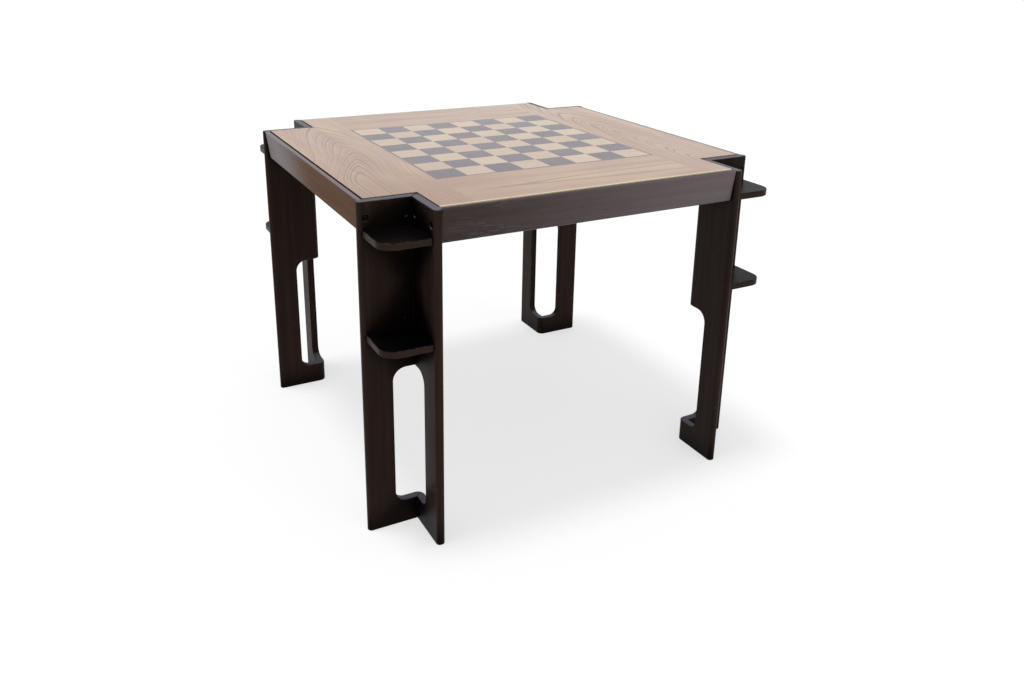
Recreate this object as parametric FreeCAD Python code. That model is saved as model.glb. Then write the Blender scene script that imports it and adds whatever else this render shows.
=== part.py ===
import FreeCAD, Part
import math
import os

# Chess table. Each corner leg is two boards mitred into an L whose hollow side looks outward, with a slot
# through the corner and two shelves in the hollow. Rails and bearers join the legs, and a loose panel with
# an inlaid board lies on them. Millimetres, +Z up, origin on the floor under the middle of the table.

# Overall sizes
table_size = 950.0          # across the outer ends of the leg boards, both ways
frame_height = 720.0        # floor to the top of legs and rails

# Leg boards
board_thickness = 18.0
recess_depth = 109.0        # outward faces of the boards to the board ends
board_end_round = 8.0       # radius down both edges of a board end
apex_round = 17.0           # radius down the inner corner of the leg, where the panel's notch fits round it
board_arris = 0.8           # chamfer round the top and the foot

# Slot through the corner of each leg
slot_bottom = 54.0          # above the floor
slot_drop = 73.0            # top of the slot below the underside of the lower shelf
slot_reach = 47.0           # along each board from the hollow corner
slot_bottom_radius = 23.0
slot_top_radius = 28.0
slot_arris = 1.2            # chamfer round the slot on both faces

# Loose tongue in each mitre
spline_width = 14.0
spline_thickness = 4.0
spline_stop = 10.0          # short of the slot, the top and the foot

# Shelves in the hollow of each leg
upper_shelf_drop = 55.0     # top of the upper shelf below the frame top
shelf_spacing = 214.0       # from the top of one shelf to the top of the other
shelf_thickness = 14.0
shelf_inset = 8.0           # front edges behind the board ends
shelf_front_radius = 34.0
shelf_back_radius = 38.0    # leaves a small opening at the hollow corner
shelf_side_radius = 3.0
shelf_arris = 0.7

# Rails along the sides
rail_height = 71.0
rail_inset = 4.0            # top outer edge behind the board ends
rail_cant = 10.0            # how far the outer face leans in towards the bottom
rail_thickness = 26.0       # at the top
rail_lip = 10.0             # lip that stands round the panel
rail_top_round = 2.0
rail_bottom_round = 7.0

# Bearers inside the rails
bearer_width = 26.0
bearer_height = 44.0
bearer_offset = 13.0        # middle of the bearer beyond the outward faces of the boards

# Bolts through the boards into rails and bearers
bolt_drop = 32.0            # axis below the frame top
rail_bolt_inset = 11.0      # axis behind the top outer edge of the rail
bolt_head_radius = 6.0
bolt_head_height = 4.0
bolt_head_chamfer = 0.8
bolt_sink = 1.0             # head below the face of the board
bolt_head_clearance = 1.0   # round the head
bolt_shank_radius = 2.5
bolt_length = 60.0          # under the head
socket_across_flats = 5.0
socket_depth = 2.5

# Dowels
dowel_radius = 4.0
dowel_cover = 6.0           # wood left between a dowel hole and the far face of a board
rail_dowel_depth = 20.0     # into the end of a rail or bearer
shelf_dowel_depth = 18.0    # into the edge of a shelf
shelf_dowel_margin = 27.0   # outer dowel behind the front edge of the shelf
shelf_dowel_gap = 8.0       # inner dowel beyond the rounded back corner

# Top panel
panel_thickness = 18.0
panel_proud = 1.5           # above the frame top
panel_gap = 3.5             # to the lips of the rails
panel_leg_gap = 1.0         # to the legs
veneer_thickness = 1.2
backing_thickness = 1.0
lipping_thickness = 4.0

# Inlaid board
squares_per_side = 8
border_width = 6.0
field_width = 183.5         # plain veneer from the border to the edge of the panel

# Planes that follow from the sizes above
half = table_size / 2
hollow = half - recess_depth
back = hollow - board_thickness
panel_top = frame_height + panel_proud
seat = panel_top - panel_thickness
panel_half = half - rail_inset - rail_lip - panel_gap
notch = back - panel_leg_gap
seam = panel_half - field_width
board_half = seam - border_width
square_size = 2 * board_half / squares_per_side
bolt_level = frame_height - bolt_drop
rail_bottom = frame_height - rail_height
rail_inner = half - rail_inset - rail_thickness
rail_bolt_x = half - rail_inset - rail_bolt_inset
rail_dowel_x = (half - rail_inset - rail_cant + rail_inner) / 2
bearer_x = hollow + bearer_offset
bearer_bottom = seat - bearer_height
upper_shelf_top = frame_height - upper_shelf_drop
lower_shelf_top = upper_shelf_top - shelf_spacing
shelf_front = half - shelf_inset
slot_top = lower_shelf_top - shelf_thickness - slot_drop
board_dowel_depth = board_thickness - dowel_cover
through = board_thickness + recess_depth      # long enough to cut right through a board
tiny = 0.001

corner_names = ("far_right", "far_left", "near_left", "near_right")
side_names = ("right", "far", "left", "near")
shelf_tops = {"upper": upper_shelf_top, "lower": lower_shelf_top}

V = FreeCAD.Vector
UP = V(0, 0, 1)
ALONG_Y = V(0, 1, 0)
CENTRE = V(0, 0, 0)
DIAGONAL = V(1, -1, 0)


def rounded_face(corners):
    """Flat face through (point, radius) corners, each corner rounded by its radius."""
    pieces = []
    for i, (point, radius) in enumerate(corners):
        to_last = (corners[i - 1][0] - point).normalize()
        to_next = (corners[(i + 1) % len(corners)][0] - point).normalize()
        half_angle = to_last.getAngle(to_next) / 2
        reach = radius / math.tan(half_angle)
        bisector = (to_last + to_next).normalize()
        middle = point + bisector * (radius / math.sin(half_angle) - radius)
        pieces.append((point + to_last * reach, middle, point + to_next * reach, radius))
    edges = []
    for i, (start, middle, end, radius) in enumerate(pieces):
        if radius > 0:
            edges.append(Part.Arc(start, middle, end).toShape())
        following = pieces[(i + 1) % len(pieces)][0]
        edges.append(Part.LineSegment(end, following).toShape())
    return Part.Face(Part.Wire(edges))


def plate(points, bottom, top):
    """Straight-sided plate over a plan outline of (x, y) points."""
    face = rounded_face([(V(x, y, bottom), 0) for x, y in points])
    return face.extrude(UP * (top - bottom))


def rod(radius, x, y_from, y_to, z):
    """Round rod along Y."""
    return Part.makeCylinder(radius, y_to - y_from, V(x, y_from, z), ALONG_Y)


def quarter_turn(shape, turns):
    """Copy of a shape turned about the middle of the table by quarter turns."""
    turned = shape.copy()
    turned.rotate(CENTRE, UP, 90 * turns)
    return turned


def other_board(shape):
    """Copy of a shape on one board of a leg, moved to the leg's other board."""
    return shape.mirror(CENTRE, DIAGONAL)


def edges_at_levels(shape, levels):
    """Edges that lie flat at one of the given heights."""
    chosen = []
    for edge in shape.Edges:
        box = edge.BoundBox
        if any(abs(box.ZMin - level) < tiny and abs(box.ZMax - level) < tiny for level in levels):
            chosen.append(edge)
    return chosen


# Leg boards, modelled for the corner at +X +Y, the board that runs along X

def slot_cutter():
    """Half of the corner slot, cut square through one board."""
    start = back - board_thickness
    end = hollow + slot_reach
    y = back - board_thickness
    corners = [
        (V(start, y, slot_bottom), 0),
        (V(end, y, slot_bottom), slot_bottom_radius),
        (V(end, y, slot_top), slot_top_radius),
        (V(start, y, slot_top), 0),
    ]
    return rounded_face(corners).extrude(ALONG_Y * through)


def slot_edges(board):
    """Edges where the slot meets the two faces of the board."""
    chosen = []
    for edge in board.Edges:
        box = edge.BoundBox
        on_face = any(abs(box.YMin - y) < tiny and abs(box.YMax - y) < tiny for y in (back, hollow))
        in_reach = box.XMax < hollow + slot_reach + tiny
        in_height = box.ZMin > slot_bottom - tiny and box.ZMax < slot_top + tiny
        if on_face and in_reach and in_height:
            chosen.append(edge)
    return chosen


def shelf_dowel_places():
    inner = hollow + shelf_back_radius + shelf_dowel_gap
    return (inner, shelf_front - shelf_dowel_margin)


def shelf_dowels_on_board():
    """Dowels that run from one board into both shelves."""
    dowels = []
    for top in shelf_tops.values():
        for x in shelf_dowel_places():
            dowels.append(rod(dowel_radius, x, hollow - board_dowel_depth, hollow + shelf_dowel_depth,
                              top - shelf_thickness / 2))
    return dowels


def rail_dowel():
    level = (bolt_level + rail_bottom) / 2
    return rod(dowel_radius, rail_dowel_x, back - rail_dowel_depth, back + board_dowel_depth, level)


def bearer_dowel():
    level = (bolt_level + bearer_bottom) / 2
    return rod(dowel_radius, bearer_x, back - rail_dowel_depth, back + board_dowel_depth, level)


def bolt(x):
    """Bolt along -Y with its head sunk in the outward face of a board."""
    head_face = hollow - bolt_sink
    under_head = head_face - bolt_head_height
    head = rod(bolt_head_radius, x, under_head, head_face, bolt_level)
    rim = [edge for edge in head.Edges if abs(edge.BoundBox.YMin - head_face) < tiny]
    head = head.makeChamfer(bolt_head_chamfer, rim)
    corner_radius = socket_across_flats / math.sqrt(3)
    corners = []
    for i in range(6):
        angle = math.radians(60 * i)
        corner = V(x + corner_radius * math.cos(angle), head_face - socket_depth,
                   bolt_level + corner_radius * math.sin(angle))
        corners.append((corner, 0))
    socket = rounded_face(corners).extrude(ALONG_Y * (socket_depth + bolt_sink))
    shank = rod(bolt_shank_radius, x, under_head - bolt_length, under_head, bolt_level)
    return head.fuse(shank).removeSplitter().cut(socket)


def bolt_hole(x):
    """Hole for a bolt, with the room for its head."""
    under_head = hollow - bolt_sink - bolt_head_height
    hole = rod(bolt_shank_radius, x, under_head - bolt_length, under_head, bolt_level)
    room = rod(bolt_head_radius + bolt_head_clearance, x, under_head, hollow + bolt_sink, bolt_level)
    return hole.fuse(room)


def splines():
    """Tongues across the mitre, above and below the slot."""
    middle = (hollow + back) / 2
    spans = {
        "upper": (slot_top + spline_stop, frame_height - spline_stop),
        "lower": (spline_stop, slot_bottom - spline_stop),
    }
    tongues = {}
    for name, (bottom, top) in spans.items():
        corner = V(-spline_width / 2, -spline_thickness / 2, bottom)
        tongue = Part.makeBox(spline_width, spline_thickness, top - bottom, corner)
        tongue.rotate(CENTRE, UP, -45)
        tongue.translate(V(middle, middle, 0))
        tongues[name] = tongue
    return tongues


def leg_outline():
    """Plan of both boards of the leg, an L with a rounded inner corner."""
    return rounded_face([
        (V(half, hollow, 0), board_end_round),
        (V(hollow, hollow, 0), 0),
        (V(hollow, half, 0), board_end_round),
        (V(back, half, 0), board_end_round),
        (V(back, back, 0), apex_round),
        (V(half, back, 0), board_end_round),
    ])


def leg_board():
    beside_mitre = plate([(0, 0), (half, 0), (half, half)], 0, frame_height)
    board = leg_outline().extrude(UP * frame_height).common(beside_mitre)
    board = board.makeChamfer(board_arris, edges_at_levels(board, (0, frame_height)))
    board = board.cut(slot_cutter())
    board = board.makeChamfer(slot_arris, slot_edges(board))
    cutters = [bolt_hole(rail_bolt_x), bolt_hole(bearer_x), rail_dowel(), bearer_dowel()]
    return board.cut(cutters + shelf_dowels_on_board() + list(splines().values()))


def shelf(top):
    """Shelf in the hollow of the leg at +X +Y, against both boards."""
    bottom = top - shelf_thickness
    outline = [
        (V(hollow, hollow, bottom), shelf_back_radius),
        (V(shelf_front, hollow, bottom), shelf_side_radius),
        (V(shelf_front, shelf_front, bottom), shelf_front_radius),
        (V(hollow, shelf_front, bottom), shelf_side_radius),
    ]
    body = rounded_face(outline).extrude(UP * shelf_thickness)
    body = body.makeChamfer(shelf_arris, edges_at_levels(body, (bottom, top)))
    dowels = shelf_dowels_on_board()
    return body.cut(dowels + [other_board(dowel) for dowel in dowels])


# Rails and bearers, modelled for the side at +X

def both_ends(cutters):
    """Cutters at the +Y end of a rail and their images at the other end."""
    return cutters + [cutter.mirror(CENTRE, ALONG_Y) for cutter in cutters]


def rail():
    outer = half - rail_inset
    y = -back
    profile = [
        (V(outer, y, frame_height), rail_top_round),
        (V(outer - rail_lip, y, frame_height), 0),
        (V(outer - rail_lip, y, seat), 0),
        (V(rail_inner, y, seat), 0),
        (V(rail_inner, y, rail_bottom), 0),
        (V(outer - rail_cant, y, rail_bottom), rail_bottom_round),
    ]
    body = rounded_face(profile).extrude(ALONG_Y * (2 * back))
    return body.cut(both_ends([bolt_hole(rail_bolt_x), rail_dowel()]))


def bearer():
    corner = V(bearer_x - bearer_width / 2, -back, bearer_bottom)
    body = Part.makeBox(bearer_width, 2 * back, bearer_height, corner)
    return body.cut(both_ends([bolt_hole(bearer_x), bearer_dowel()]))


# Top panel

def notched_square(reach):
    """Plan of a square with a notch for the leg in each corner."""
    points = []
    for x_sign, y_sign in ((1, 1), (-1, 1), (-1, -1), (1, -1)):
        arm_x = (x_sign * reach, y_sign * notch)
        arm_y = (x_sign * notch, y_sign * reach)
        inner = (x_sign * notch, y_sign * notch)
        points += [arm_x, inner, arm_y] if x_sign == y_sign else [arm_y, inner, arm_x]
    return points


def lipping():
    """Strip on the panel's +X edge, between the core's veneers."""
    bottom = seat + backing_thickness
    top = panel_top - veneer_thickness
    edge = panel_half - lipping_thickness
    return plate([(edge, -notch), (panel_half, -notch), (panel_half, notch), (edge, notch)], bottom, top)


def side_field():
    """Veneer along the whole +X side of the panel, round the notches for the legs."""
    points = [
        (seam, -panel_half), (notch, -panel_half), (notch, -notch), (panel_half, -notch),
        (panel_half, notch), (notch, notch), (notch, panel_half), (seam, panel_half),
    ]
    return plate(points, panel_top - veneer_thickness, panel_top)


def end_field():
    """Veneer between the side fields, from the border to the panel's +Y edge."""
    points = [(-seam, seam), (seam, seam), (seam, panel_half), (-seam, panel_half)]
    return plate(points, panel_top - veneer_thickness, panel_top)


def border_strip():
    """Mitred strip along the +X side of the inlaid board."""
    points = [(board_half, -board_half), (seam, -seam), (seam, seam), (board_half, board_half)]
    return plate(points, panel_top - veneer_thickness, panel_top)


def squares(parity):
    """Every second square of the inlaid board: parity 0 holds the corner nearest -X -Y."""
    tiles = []
    for column in range(squares_per_side):
        for row in range(squares_per_side):
            if (column + row) % 2 == parity:
                corner = V(-board_half + column * square_size, -board_half + row * square_size,
                           panel_top - veneer_thickness)
                tiles.append(Part.makeBox(square_size, square_size, veneer_thickness, corner))
    return Part.makeCompound(tiles)


def build():
    nodes = {}
    board = leg_board()
    boards = (board, other_board(board))
    tongues = splines()
    for turns, name in enumerate(corner_names):
        for along, shape in zip("xy" if turns % 2 == 0 else "yx", boards):
            nodes[f"{name}_leg_board_{along}"] = quarter_turn(shape, turns)
        for place, tongue in tongues.items():
            nodes[f"{name}_leg_{place}_spline"] = quarter_turn(tongue, turns)
        for place, top in shelf_tops.items():
            nodes[f"{name}_leg_{place}_shelf"] = quarter_turn(shelf(top), turns)

    for turns, name in enumerate(side_names):
        nodes[f"{name}_rail"] = quarter_turn(rail(), turns)
        nodes[f"{name}_bearer"] = quarter_turn(bearer(), turns)
        nodes[f"{name}_lipping"] = quarter_turn(lipping(), turns)

    fasteners = {
        "frame_bolts": [bolt(rail_bolt_x), bolt(bearer_x)],
        "rail_dowels": [rail_dowel()],
        "bearer_dowels": [bearer_dowel()],
        "shelf_dowels": shelf_dowels_on_board(),
    }
    for name, on_board in fasteners.items():
        on_leg = on_board + [other_board(piece) for piece in on_board]
        in_place = [quarter_turn(piece, turns) for turns in range(4) for piece in on_leg]
        nodes[name] = Part.makeCompound(in_place)

    nodes["panel_core"] = plate(notched_square(panel_half - lipping_thickness), seat + backing_thickness,
                                panel_top - veneer_thickness)
    nodes["backing_veneer"] = plate(notched_square(panel_half), seat, seat + backing_thickness)
    nodes["right_field"] = side_field()
    nodes["left_field"] = quarter_turn(side_field(), 2)
    nodes["far_field"] = end_field()
    nodes["near_field"] = quarter_turn(end_field(), 2)
    nodes["board_border"] = Part.makeCompound([quarter_turn(border_strip(), turns) for turns in range(4)])
    nodes["dark_squares"] = squares(0)
    nodes["light_squares"] = squares(1)
    return nodes


os.makedirs("parts", exist_ok=True)
for node_name, node_shape in build().items():
    node_shape.exportStep(f"parts/{node_name}.step")
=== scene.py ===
"""Looks of the chess table: a dark lacquered frame, a veneered top with its inlaid board, and a studio."""

import math

import bmesh
import bpy
from mathutils import Matrix, Vector

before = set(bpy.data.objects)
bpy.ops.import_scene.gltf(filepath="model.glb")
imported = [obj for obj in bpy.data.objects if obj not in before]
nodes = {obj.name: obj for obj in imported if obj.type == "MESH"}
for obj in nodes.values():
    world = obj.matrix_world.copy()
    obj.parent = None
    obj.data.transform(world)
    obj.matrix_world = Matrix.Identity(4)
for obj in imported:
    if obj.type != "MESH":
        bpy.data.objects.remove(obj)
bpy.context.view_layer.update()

X, Y, Z = range(3)
CORNERS = ("near_left", "near_right", "far_left", "far_right")

# Sizes, in metres.
SQUARE = 0.067              # side of one square of the inlaid board
RIM_START = 0.4545          # distance from the middle of the top at which a painted highlight begins along its near and far rims
RIM_BLEND = 0.0025          # breadth of that change
FOOT_BLEND = 0.12           # length on either side of an arch's foot in which its lines grow stronger
FLOOR_DROP = 0.0002         # keeps the floor clear of the faces of the feet

POINTED = 1.5               # shape of the arches in the ash: 2 is round, 1 is a gable

# How far the marks on the lacquer hide it.
PORE_COVER = 0.25
RUB_COVER = 0.6
DUST_COVER = 0.7


def srgb(red, green, blue):
    """A display colour, 0 to 255, as the linear colour that a shader takes."""
    def linear(value):
        value /= 255
        return value / 12.92 if value <= 0.04045 else ((value + 0.055) / 1.055) ** 2.4
    return (linear(red), linear(green), linear(blue), 1.0)


WHITE = (1.0, 1.0, 1.0, 1.0)
SKY = (0.96, 0.98, 1.0, 1.0)
BROWN_GLOSS = (1.0, 0.66, 0.55, 1.0)
PLAIN_GLOSS = (1.0, 0.95, 0.93, 1.0)
PORE = srgb(9, 7, 7)
JOINT_LINE = srgb(12, 9, 9)
SCRATCH = srgb(140, 140, 150)
RUBBED_ARRIS = srgb(150, 138, 130)
DUST = srgb(190, 184, 180)
PALE_CORE = srgb(206, 178, 144)
# Painted highlight of the near and far edges of the top and of their lippings.
LIT_EDGE = srgb(246, 228, 192)


class Graph:
    """Shader nodes, made step by step. Every value is a number, a colour or another node's output."""

    def __init__(self, tree):
        self.tree = tree

    def add(self, kind, inputs=None, **settings):
        """A new node with its settings made and its inputs fed."""
        node = self.tree.nodes.new(kind)
        for name, value in settings.items():
            setattr(node, name, value)
        for socket, value in (inputs or {}).items():
            self.feed(node.inputs[socket], value)
        return node

    def feed(self, socket, value):
        """Links an output to a socket, or sets the socket to a number or colour."""
        if isinstance(value, bpy.types.NodeSocket):
            self.tree.links.new(value, socket)
        else:
            socket.default_value = value

    def math(self, operation, *values):
        return self.add("ShaderNodeMath", dict(enumerate(values)), operation=operation).outputs[0]

    def product(self, first, *others):
        for other in others:
            first = self.math("MULTIPLY", first, other)
        return first

    def seen(self):
        """1 where it is seen directly, mirrored or through glass, and 0 where it only lights a surface."""
        path = self.add("ShaderNodeLightPath").outputs
        passed_on = self.math("MAXIMUM", path["Is Glossy Ray"], path["Is Transmission Ray"])
        return self.math("MAXIMUM", path["Is Camera Ray"], passed_on)


class Finish(Graph):
    """The material of a surface. Its figure follows the place, and its colour is laid on in steps."""

    def __init__(self, name, **constants):
        self.material = bpy.data.materials.new(name)
        self.material.use_nodes = True
        super().__init__(self.material.node_tree)
        self.shader = self.tree.nodes["Principled BSDF"]
        for socket, value in constants.items():
            self.give(socket.replace("_", " "), value)
        self.place = self.add("ShaderNodeTexCoord").outputs["Object"]
        self.colour = None

    def give(self, socket, value):
        """Sets one input of the shader."""
        self.feed(self.shader.inputs[socket], value)

    def vector(self, operation, *values):
        return self.add("ShaderNodeVectorMath", dict(enumerate(values)), operation=operation).outputs[0]

    def split(self, place):
        return self.add("ShaderNodeSeparateXYZ", {0: place}).outputs

    def noise(self, place, scale, detail=3.0):
        inputs = {"Vector": place, "Scale": scale, "Detail": detail, "Roughness": 0.55}
        return self.add("ShaderNodeTexNoise", inputs).outputs[0]

    def fade(self, value, start, end, low=0.0, high=1.0):
        """Runs smoothly from low at start to high at end."""
        inputs = {0: value, 1: start, 2: end, 3: low, 4: high}
        return self.add("ShaderNodeMapRange", inputs, interpolation_type="SMOOTHSTEP").outputs[0]

    def mix(self, share, first, second):
        node = self.add("ShaderNodeMix", {0: share, 6: first, 7: second}, data_type="RGBA")
        return node.outputs[2]

    def paint(self, share, tone):
        """Lays a tone over the colour so far."""
        self.colour = self.mix(share, self.colour, tone)

    def fibres(self, grain, length, width, detail=4.0, seed=0.0):
        """Noise drawn out along one axis, as wood fibres are."""
        factors = [1.0 / width] * 3
        factors[grain] = 1.0 / length
        stretched = self.vector("MULTIPLY_ADD", self.place, factors, (seed, seed * 1.7, seed * 0.6))
        return self.noise(stretched, 1.0, detail)

    def facing(self):
        """The three parts of the direction that a face looks in."""
        return self.split(self.add("ShaderNodeNewGeometry").outputs["Normal"])

    def rounding(self, radius):
        """The direction of the surface with its arrises taken as rounded."""
        return self.add("ShaderNodeBevel", {"Radius": radius}, samples=6).outputs[0]

    def edges(self, radius):
        """1 along the arrises of a piece and 0 on its faces."""
        sharp = self.add("ShaderNodeNewGeometry").outputs["Normal"]
        inputs = {0: self.rounding(radius), 1: sharp}
        likeness = self.add("ShaderNodeVectorMath", inputs, operation="DOT_PRODUCT").outputs["Value"]
        return self.fade(likeness, 0.985, 0.86)

    def openness(self, reach):
        """1 on an open face and less in corners and recesses, as far as reach away from other faces."""
        return self.add("ShaderNodeAmbientOcclusion", {"Distance": reach}, samples=8).outputs["AO"]

    def specks(self, spacing, radius):
        """1 in scattered dots."""
        inputs = {"Vector": self.place, "Scale": 1.0 / spacing}
        distance = self.add("ShaderNodeTexVoronoi", inputs).outputs["Distance"]
        return self.fade(distance, radius / spacing, 0.5 * radius / spacing)

    def relief(self, height, depth, rounding=None):
        """Raises the surface by height times depth, with its arrises rounded by the radius rounding."""
        bump = self.add("ShaderNodeBump", {"Strength": 1.0, "Distance": depth, "Height": height})
        if rounding:
            self.feed(bump.inputs["Normal"], self.rounding(rounding))
        self.give("Normal", bump.outputs[0])


def mitre_line(wood):
    """1 on the line where the two boards of a leg meet on the diagonal."""
    place = wood.split(wood.place)
    offset = wood.math("SUBTRACT", wood.math("ABSOLUTE", place[X]), wood.math("ABSOLUTE", place[Y]))
    return wood.fade(wood.math("ABSOLUTE", offset), 0.0016, 0.0006)


def scratches(wood, grain, seed):
    """1 in fine scratches, which lie in patches towards the low end of a rail."""
    marks = wood.fibres(grain, length=0.03, width=0.0022, detail=3.0, seed=seed + 9)
    patches = wood.fibres(grain, length=0.14, width=0.05, detail=2.0, seed=seed + 2)
    near_end = wood.fade(wood.split(wood.place)[grain], -0.12, -0.27, low=0.08)
    return wood.product(wood.fade(marks, 0.50, 0.62), wood.fade(patches, 0.44, 0.60), near_end)


def lacquered(name, grain, dark, light, specular, tint, seed=0.0, satin=0.27, recess=None, top=None,
              sides=None, mitred=False, scuffs=0.0, painted_sheen=None):
    """Stained wood under a satin lacquer, rubbed through a little along its arrises.

    The stain runs from dark to light with the figure, and seed shifts the figure. specular and tint are the
    lacquer's gloss, and satin is its least roughness. recess is the tone of a painted shade laid on deep
    corners. top is a painted tone on faces that look up, lighter for a painted reflection of the sky and
    darker for a painted shade, and sides is painted light on upright ones, where they differ from the rest.
    A mitred piece has a dark line where it meets its neighbour on the diagonal. scuffs is how far fine
    scratches turn grey. The last argument is a painted sheen: the paler tone laid along the grain, with the
    places where it begins and where it ends.
    """
    wood = Finish(name, Specular_IOR_Level=specular, Specular_Tint=tint)
    figure = wood.fibres(grain, length=0.34, width=0.014, seed=seed)
    dots = wood.fibres(grain, length=0.028, width=0.0011, detail=2.0, seed=seed + 5)
    pores = wood.fade(dots, 0.58, 0.74)
    up = wood.facing()[Z]
    wood.colour = wood.mix(wood.fade(figure, 0.34, 0.68), dark, light)
    # Painted sheen: the wood turns paler along its grain between two places.
    if painted_sheen:
        pale, start, end = painted_sheen
        sheen_along = wood.fade(wood.split(wood.place)[grain], start, end)
        wood.paint(wood.product(sheen_along, wood.fade(figure, 0.3, 0.7, low=0.84)), pale)
    # Painted shade: deep corners and recesses darken towards the recess tone.
    if recess:
        wood.paint(wood.fade(wood.openness(reach=0.10), 0.83, 0.63), recess)
    # Painted light and shade: faces that look up take the top tone.
    if top:
        wood.paint(wood.fade(up, 0.6, 0.95, high=0.9), top)
    # Painted light: upright faces take the sides tone.
    if sides:
        wood.paint(wood.fade(wood.math("ABSOLUTE", up), 0.8, 0.4, high=0.9), sides)
    wood.paint(wood.product(pores, PORE_COVER), PORE)
    if mitred:
        wood.paint(mitre_line(wood), JOINT_LINE)
    if scuffs:
        wood.paint(wood.product(scratches(wood, grain, seed), scuffs), SCRATCH)
    uneven = wood.fade(wood.noise(wood.place, scale=70.0, detail=4.0), 0.48, 0.66)
    rubbed = wood.product(wood.edges(radius=0.0022), uneven)
    wood.paint(wood.product(rubbed, RUB_COVER), RUBBED_ARRIS)
    dust = wood.product(wood.specks(spacing=0.030, radius=0.0008), DUST_COVER)
    wood.paint(dust, DUST)
    cloud = wood.noise(wood.place, scale=5.0, detail=2.0)
    gloss = wood.math("MULTIPLY_ADD", cloud, 0.16, satin)
    for dulled, amount in ((pores, 0.10), (rubbed, 0.25), (dust, 0.4)):
        gloss = wood.math("MULTIPLY_ADD", dulled, amount, gloss)
    height = wood.math("MULTIPLY_ADD", pores, -0.6, wood.product(figure, 0.4))
    wood.give("Base Color", wood.colour)
    wood.give("Roughness", gloss)
    wood.relief(height, depth=0.0001, rounding=0.0018)
    return wood.material


def polished(wood, figure, pores, dulling, depth):
    """A smooth veneer, with a sheen that follows the figure and pores that lie below its face."""
    sheen = wood.fade(figure, 0.2, 0.8, low=0.17, high=0.25)
    wood.give("Base Color", wood.colour)
    wood.give("Roughness", wood.math("MULTIPLY_ADD", pores, dulling, sheen))
    wood.relief(wood.product(pores, -1.0), depth)
    return wood.material


def from_heart(wood, grain, along, aside, foot, rise, seed):
    """How far the wood at a place lies from the heart of the tree.

    The heart lies in the sheet up to foot, a place along the grain, and sinks below it from there by the
    slope rise, ahead of foot if that is positive and behind it if not.
    """
    depth = wood.math("MAXIMUM", wood.product(wood.math("SUBTRACT", along, foot), rise), 0.0)
    powers = wood.math("ADD", wood.math("POWER", aside, POINTED), wood.math("POWER", depth, POINTED))
    sway = wood.fibres(grain, length=0.24, width=0.06, detail=2.0, seed=seed)
    return wood.math("MULTIPLY_ADD", wood.math("SUBTRACT", sway, 0.5), 0.009,
                     wood.math("POWER", powers, 1.0 / POINTED))


def late_wood(wood, reach, ring, breadth, seed):
    """1 in the dark line of each growth ring and 0 in its pale early wood.

    The rings differ in width and in strength.
    """
    count = wood.math("DIVIDE", reach, ring)
    inputs = {"W": wood.math("ADD", count, seed), "Scale": 0.45, "Detail": 1.0}
    uneven = wood.add("ShaderNodeTexNoise", inputs, noise_dimensions="1D").outputs[0]
    count = wood.math("MULTIPLY_ADD", uneven, 2.4, count)
    phase = wood.math("FRACT", count)
    year = wood.math("ADD", wood.math("FLOOR", count), seed)
    chance = wood.add("ShaderNodeTexWhiteNoise", {"W": year}, noise_dimensions="1D").outputs["Value"]
    line = wood.math("MAXIMUM", wood.fade(phase, breadth, 0.06), wood.fade(phase, 0.85, 0.1, high=0.35))
    return wood.product(line, wood.fade(phase, 0.0, 0.05), wood.math("MULTIPLY_ADD", chance, 0.6, 0.4))


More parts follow.
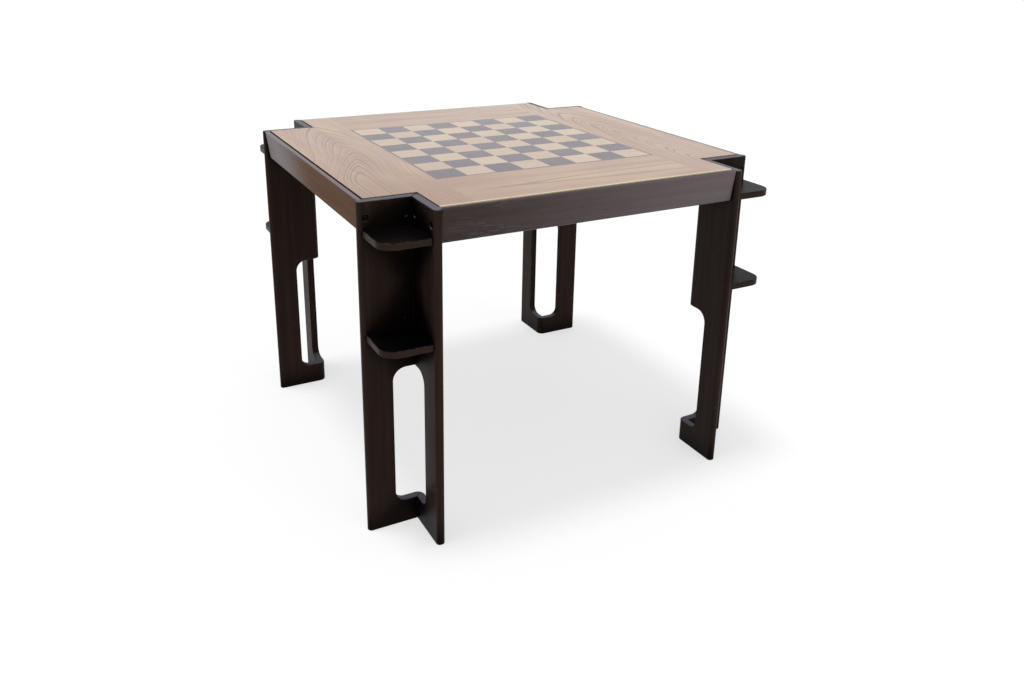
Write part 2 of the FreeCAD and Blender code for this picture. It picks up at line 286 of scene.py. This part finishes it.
def flat_sawn(name, grain, middle, foot, rise, ring, tones, seed, bend=None, streaks=0.5, lines=0.9,
              breadth=0.32, core=0.0, deeper=None):
    """Ash veneer with the arched figure of a flat-sawn sheet, with a painted highlight along the near and
    far edge of the top.

    The heart of the tree runs along the line middle, a place across the grain, and sinks from foot by the
    slope rise. So the growth rings, ring apart, show as straight lines on one side of foot and as arches on
    the other. bend is the place that the middle line shifts to, with the places along the grain where that
    begins and ends. tones are those of the early wood, of its rosy patches, of its warm streaks and of the
    late wood. streaks and lines say how strong the last two are, and breadth what share of a ring is late
    wood. Within core of the heart the wood is pale and plain, with a dark line round it. deeper gives the
    two places along the grain between which a painted shade turns the sheet warmer and darker, where it
    catches less sheen. seed shifts the figure.
    """
    cream, rose, warm, line = tones
    wood = Finish(name, Specular_IOR_Level=0.5)
    place = wood.split(wood.place)
    along, across = place[grain], place[1 - grain]
    if bend:
        other, start, end = bend
        middle = wood.fade(along, start, end, middle, other)
    aside = wood.math("ABSOLUTE", wood.math("SUBTRACT", across, middle))
    tremble = wood.fibres(grain, length=0.020, width=0.010, detail=2.0, seed=seed + 3)
    reach = wood.math("MULTIPLY_ADD", wood.math("SUBTRACT", tremble, 0.5), 0.22 * ring,
                      from_heart(wood, grain, along, aside, foot, rise, seed))
    ahead = math.copysign(FOOT_BLEND, rise)
    late = wood.product(late_wood(wood, reach, ring, breadth, seed),
                        wood.fade(reach, core, core + 3 * ring),
                        wood.fade(aside, 0.08, 0.02, low=0.5),
                        wood.fade(along, foot - ahead, foot + ahead, low=0.85))
    if core:
        from_core = wood.math("ABSOLUTE", wood.math("SUBTRACT", reach, core))
        late = wood.math("MAXIMUM", late, wood.fade(from_core, 0.0036, 0.0008, high=0.6))
    bands = wood.fibres(grain, length=0.4, width=0.03, detail=3.0, seed=seed + 8)
    patches = wood.noise(wood.vector("ADD", wood.place, (seed, seed, 0.0)), scale=8.0, detail=2.0)
    dots = wood.fibres(grain, length=0.02, width=0.0009, detail=2.0, seed=seed + 11)
    pores = wood.product(wood.fade(dots, 0.56, 0.70), wood.math("MULTIPLY_ADD", late, 0.35, 0.20))
    wood.colour = wood.mix(wood.fade(patches, 0.38, 0.62), cream, rose)
    wood.paint(wood.fade(bands, 0.45, 0.65, high=streaks), warm)
    # Painted shade: the sheet turns warmer and darker along its grain, where it catches less sheen.
    if deeper:
        start, end = deeper
        wood.paint(wood.fade(along, start, end, high=0.8), warm)
    if core:
        wood.paint(wood.fade(reach, core, 0.2 * core, high=0.35), PALE_CORE)
    wood.paint(wood.product(late, lines), line)
    wood.paint(pores, line)
    # Painted highlight along the near and far rims of the top.
    frayed = wood.math("MULTIPLY_ADD", tremble, 0.002, wood.math("ABSOLUTE", place[Y]))
    wood.paint(wood.fade(frayed, RIM_START, RIM_START + RIM_BLEND), LIT_EDGE)
    return polished(wood, bands, pores, dulling=0.25, depth=0.00008)


def square_veneer(name, grain, pale, deep, vein, share):
    """Straight-grained veneer of the squares, each with its own tone and its own place in the sheet.

    share is how far the pores take on the tone of vein.
    """
    wood = Finish(name, Specular_IOR_Level=0.5)
    cell = wood.vector("FLOOR", wood.vector("DIVIDE", wood.place, [SQUARE] * 3))
    chance = wood.add("ShaderNodeTexWhiteNoise", {"Vector": cell}).outputs
    wood.place = wood.vector("ADD", wood.place, chance["Color"])
    figure = wood.fibres(grain, length=0.20, width=0.0075)
    dots = wood.fibres(grain, length=0.018, width=0.0008, detail=2.0, seed=4)
    pores = wood.product(wood.fade(dots, 0.54, 0.70), share)
    tone = wood.math("MULTIPLY_ADD", chance["Value"], 0.45, wood.product(figure, 0.75))
    wood.colour = wood.mix(wood.fade(tone, 0.25, 0.95), pale, deep)
    wood.paint(pores, vein)
    return polished(wood, figure, pores, dulling=0.2, depth=0.00006)


def plain_wood(name, grain, pale, deep, roughness):
    """Straight-grained wood of the lippings and of the pieces that no hand touches."""
    wood = Finish(name, Specular_IOR_Level=0.35)
    figure = wood.fibres(grain, length=0.25, width=0.006)
    dots = wood.fibres(grain, length=0.010, width=0.0010, detail=2.0, seed=6)
    flecks = wood.fade(dots, 0.56, 0.72)
    wood.colour = wood.mix(wood.fade(figure, 0.3, 0.7), pale, deep)
    wood.paint(wood.product(flecks, 0.35), deep)
    wood.give("Base Color", wood.colour)
    wood.give("Roughness", wood.math("MULTIPLY_ADD", figure, 0.2, roughness))
    wood.relief(wood.product(flecks, -1.0), depth=0.0001)
    return wood.material


def core_board(name):
    """Pressed fibre board: an even brown with a fine speckle."""
    board = Finish(name, Specular_IOR_Level=0.2)
    speckle = board.noise(board.place, scale=900.0)
    board.give("Base Color", board.mix(speckle, srgb(86, 62, 44), srgb(122, 93, 68)))
    board.give("Roughness", board.fade(speckle, 0.3, 0.7, low=0.75, high=0.9))
    board.relief(speckle, depth=0.0002)
    return board.material


def burnished_steel(name):
    """Dark turned steel with fine tool marks and rubbed arrises."""
    steel = Finish(name, Metallic=1.0)
    marks = steel.noise(steel.place, scale=1500.0, detail=2.0)
    rubbed = steel.edges(radius=0.0006)
    steel.give("Base Color", steel.mix(rubbed, srgb(24, 23, 24), srgb(66, 64, 64)))
    steel.give("Roughness", steel.fade(marks, 0.3, 0.7, low=0.24, high=0.42))
    steel.relief(marks, depth=0.00002)
    return steel.material


def dress(names, material):
    for name in names:
        nodes[name].material_slots[0].material = material


def leg_pieces(*endings):
    return [f"{corner}_leg_{ending}" for corner in CORNERS for ending in endings]


# The frame: leg boards with upright grain, shelves, and rails and bearers with lengthwise grain.
# Leg boards: painted shade in their recesses, and a painted reflection of the sky on their tops.
dress(leg_pieces("board_x", "board_y"),
      lacquered("leg_lacquer", Z, dark=srgb(38, 29, 26), light=srgb(49, 37, 32),
                specular=0.07, tint=BROWN_GLOSS, satin=0.38,
                recess=srgb(3, 2, 2), top=srgb(97, 97, 108), mitred=True))
# The shelves are a shaded copy of the leg lacquer: near black for the painted shade in the hollows, with
# their upright edges painted lighter as lit faces.
dress(leg_pieces("upper_shelf", "lower_shelf"),
      lacquered("shaded_shelf_lacquer", X, dark=srgb(4, 3, 3), light=srgb(9, 7, 7),
                specular=0.04, tint=BROWN_GLOSS, seed=2.0, sides=srgb(56, 44, 39)))
# Near and far rails: a painted shade on their tops, and a painted sheen that grows along the rail towards
# +X.
dress(("near_rail", "far_rail"),
      lacquered("rail_lacquer_x", X, dark=srgb(63, 51, 50), light=srgb(72, 58, 56),
                specular=0.12, tint=PLAIN_GLOSS, seed=7.0,
                top=srgb(24, 20, 20), scuffs=0.3, painted_sheen=(srgb(124, 112, 115), -0.38, 0.40)))
# Left and right rails: a warm lit copy of the rail lacquer, with a painted reflection of the sky on their
# tops and a painted sheen towards their +Y ends.
dress(("left_rail", "right_rail"),
      lacquered("warm_lit_rail_lacquer_y", Y, dark=srgb(112, 80, 56), light=srgb(122, 88, 64),
                specular=0.005, tint=PLAIN_GLOSS, seed=9.0,
                top=srgb(129, 127, 135), painted_sheen=(srgb(172, 164, 166), -0.05, 0.28)))
bearer = dict(dark=srgb(33, 24, 21), light=srgb(52, 38, 32), specular=0.07, tint=BROWN_GLOSS, satin=0.38)
dress(("near_bearer", "far_bearer"), lacquered("bearer_lacquer_x", X, seed=12.0, **bearer))
dress(("left_bearer", "right_bearer"), lacquered("bearer_lacquer_y", Y, seed=14.0, **bearer))

# The joinery of the frame, hidden but for the heads of the bolts.
dress(leg_pieces("upper_spline", "lower_spline"),
      plain_wood("spline_beech", Z, srgb(206, 168, 130), srgb(176, 134, 98), roughness=0.5))
dress(("rail_dowels", "bearer_dowels", "shelf_dowels"),
      plain_wood("dowel_beech", X, srgb(210, 176, 138), srgb(184, 144, 106), roughness=0.5))
dress(("frame_bolts",), burnished_steel("bolt_steel"))

# The top: four fields of ash round the board.
ash = (srgb(186, 153, 121), srgb(179, 143, 122), srgb(160, 122, 94), srgb(112, 72, 50))
deep_ash = (srgb(181, 147, 114), srgb(174, 136, 114), srgb(154, 115, 87), srgb(112, 72, 50))
dress(("left_field",),
      flat_sawn("left_ash", Y, middle=-0.350, foot=-0.250, rise=0.19, ring=0.0066, tones=deep_ash, seed=1.0,
                bend=(-0.412, 0.05, -0.25), lines=1.2, breadth=0.38, deeper=(-0.16, -0.36)))
dress(("right_field",),
      flat_sawn("right_ash", Y, middle=0.350, foot=-0.45, rise=0.17, ring=0.0068, tones=ash, seed=18.0,
                lines=1.3, breadth=0.5))
dress(("near_field",),
      flat_sawn("near_ash", X, middle=-0.382, foot=0.30, rise=-0.052, ring=0.0095, tones=ash, seed=23.0,
                core=0.024, deeper=(0.05, -0.42)))
dress(("far_field",),
      flat_sawn("far_ash", X, middle=0.395, foot=-0.60, rise=0.030, ring=0.011, tones=ash, seed=31.0,
                streaks=0.9, deeper=(0.10, -0.42)))

# The board with its border line, and the edges, the underside and the core of the top.
dress(("board_border",),
      square_veneer("border_veneer", X, pale=srgb(112, 72, 68), deep=srgb(94, 58, 56),
                    vein=srgb(70, 44, 42), share=0.4))
dress(("light_squares",),
      square_veneer("maple", X, pale=srgb(199, 174, 147), deep=srgb(184, 156, 131),
                    vein=srgb(160, 126, 100), share=0.2))
dress(("dark_squares",),
      square_veneer("dark_walnut", X, pale=srgb(83, 67, 84), deep=srgb(65, 51, 66),
                    vein=srgb(42, 32, 40), share=0.45))
# A lit and a shaded copy of one lipping: the near and far lippings carry a painted highlight, the left and
# right ones a painted shade.
dress(("near_lipping", "far_lipping"),
      plain_wood("light_lipping", X, LIT_EDGE, srgb(234, 210, 168), roughness=0.3))
dress(("left_lipping", "right_lipping"),
      plain_wood("dark_lipping", Y, srgb(60, 46, 42), srgb(42, 32, 30), roughness=0.3))
dress(("backing_veneer",),
      plain_wood("backing_veneer", Y, srgb(176, 140, 106), srgb(150, 112, 82), roughness=0.5))
dress(("panel_core",), core_board("core_board"))


def studio_floor(radius, shade, glow):
    """A wide pale disc under the table. Seen directly or mirrored it is white where no shadow falls."""
    mesh = bpy.data.meshes.new("floor")
    shape = bmesh.new()
    bmesh.ops.create_circle(shape, cap_ends=True, segments=128, radius=radius)
    shape.to_mesh(mesh)
    shape.free()
    floor = bpy.data.objects.new("floor", mesh)
    floor.location.z = -FLOOR_DROP
    bpy.context.scene.collection.objects.link(floor)
    paper = Finish("floor_paper", Roughness=0.95, Specular_IOR_Level=0.0)
    paper.give("Base Color", (shade, shade, shade, 1.0))
    paper.give("Emission Color", WHITE)
    paper.give("Emission Strength", paper.product(paper.seen(), glow))
    mesh.materials.append(paper.material)


def studio_world(light):
    """Even light from all round, and white where it is seen directly or mirrored."""
    world = bpy.data.worlds.new("studio")
    world.use_nodes = True
    sky = Graph(world.node_tree)
    sky.tree.nodes.clear()
    lit = sky.add("ShaderNodeBackground", {"Color": SKY, "Strength": light}).outputs[0]
    white = sky.add("ShaderNodeBackground", {"Color": WHITE}).outputs[0]
    shown = sky.add("ShaderNodeMixShader", {0: sky.seen(), 1: lit, 2: white}).outputs[0]
    sky.add("ShaderNodeOutputWorld", {"Surface": shown})
    bpy.context.scene.world = world


def soft_sun(name, source, strength, colour, spread):
    """A broad lamp far away, shining from the source direction on the table."""
    lamp = bpy.data.lights.new(name, "SUN")
    lamp.energy = strength
    lamp.color = colour
    lamp.angle = math.radians(spread)
    sun = bpy.data.objects.new(name, lamp)
    sun.rotation_euler = Vector(source).to_track_quat("Z", "Y").to_euler()
    bpy.context.scene.collection.objects.link(sun)


def photo_camera(place, azimuth, elevation, roll, lens, rise):
    """A camera that looks at the table as the photograph does. Azimuth 0 looks along +Y."""
    optics = bpy.data.cameras.new("photo_camera")
    optics.sensor_width = 36.0
    optics.lens = lens
    optics.shift_y = rise
    camera = bpy.data.objects.new("photo_camera", optics)
    turn = (Matrix.Rotation(math.radians(azimuth), 4, "Z")
            @ Matrix.Rotation(math.radians(90.0 - elevation), 4, "X")
            @ Matrix.Rotation(math.radians(roll), 4, "Z"))
    camera.matrix_world = Matrix.Translation(place) @ turn
    bpy.context.scene.collection.objects.link(camera)
    bpy.context.scene.camera = camera


studio_floor(radius=40.0, shade=0.40, glow=0.63)
studio_world(light=0.60)
soft_sun("key", source=(-0.14, 0.06, 1.0), strength=1.28, colour=(1.0, 0.99, 0.98), spread=12.0)
soft_sun("front", source=(0.25, -1.0, 0.26), strength=0.62, colour=(1.0, 0.97, 0.94), spread=60.0)
photo_camera(place=(-0.986, -1.911, 1.182), azimuth=-28.53, elevation=18.24, roll=1.03,
             lens=31.576, rise=-0.1)
bpy.context.scene.view_settings.view_transform = "Standard"
